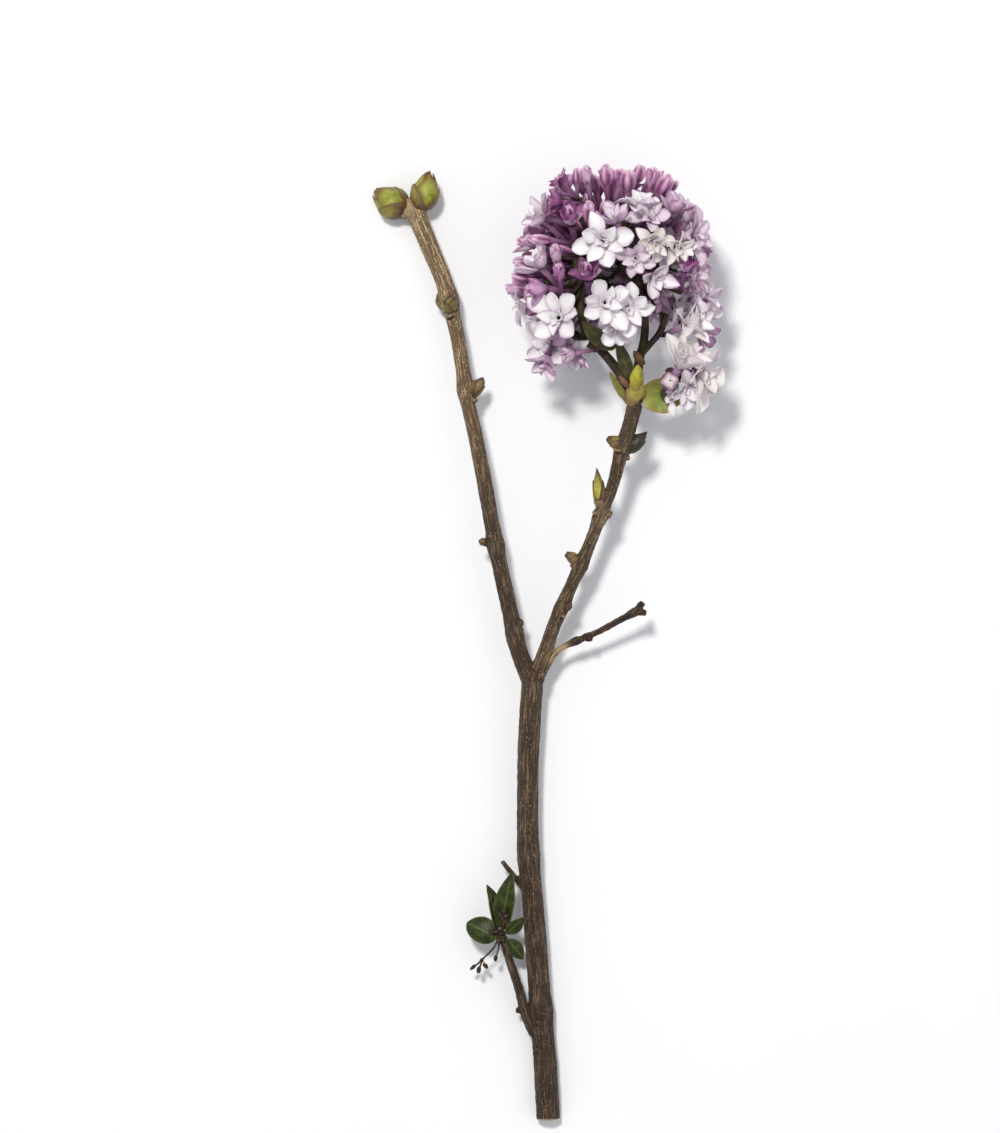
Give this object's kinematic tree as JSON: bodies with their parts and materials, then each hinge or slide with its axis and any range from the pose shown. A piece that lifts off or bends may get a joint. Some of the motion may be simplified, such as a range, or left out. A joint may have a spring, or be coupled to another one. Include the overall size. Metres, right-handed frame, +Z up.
{
  "type": "lilac stem",
  "caption": "Cut lilac stem lying on a surface: a forked woody stem with buds, an open double-flowered bloom with a side spray, and a small leafy side shoot.",
  "frame": {"origin": "middle of the footprint, on the surface that the stem lies on", "axes": "+Y along the stem from its cut end towards the bloom, +Z up from the surface, +X towards the bloom's side"},
  "size_m": [0.14, 0.381, 0.0757],
  "materials": {
    "bark": "rough bark with fine ridges and pale raised pores",
    "bud_scales": "satin green scales with brown edges",
    "bloom_scales": "satin yellow-green scales",
    "leaf": "satin dark green",
    "florets": "soft matte petals, white to lilac, purple on buds and tubes"
  },
  "bodies": {
    "root": {"woody_stem": "bark", "terminal_bud_left": "bud_scales", "terminal_bud_right": "bud_scales", "left_branch_high_bud": "bud_scales", "left_branch_high_bud_behind": "bud_scales", "left_branch_mid_bud": "bud_scales", "right_branch_high_bud_left": "bud_scales", "right_branch_high_bud_right": "bud_scales", "right_branch_mid_bud": "bud_scales", "right_branch_low_bud": "bud_scales", "right_branch_red_bud": "bud_scales", "scale_front_low": "bloom_scales", "scale_front_high": "bloom_scales", "scale_left": "bloom_scales", "scale_right": "bloom_scales", "scale_right_under": "bloom_scales", "scale_brown": "bloom_scales", "leaf_narrow": "leaf", "leaf_broad": "leaf", "shoot_leaf_round": "leaf", "shoot_leaf_folded": "leaf", "shoot_leaf_long": "leaf", "shoot_leaf_right": "leaf", "shoot_leaf_low": "leaf", "bloom": "florets", "side_spray": "florets"}
  },
  "joints": []
}
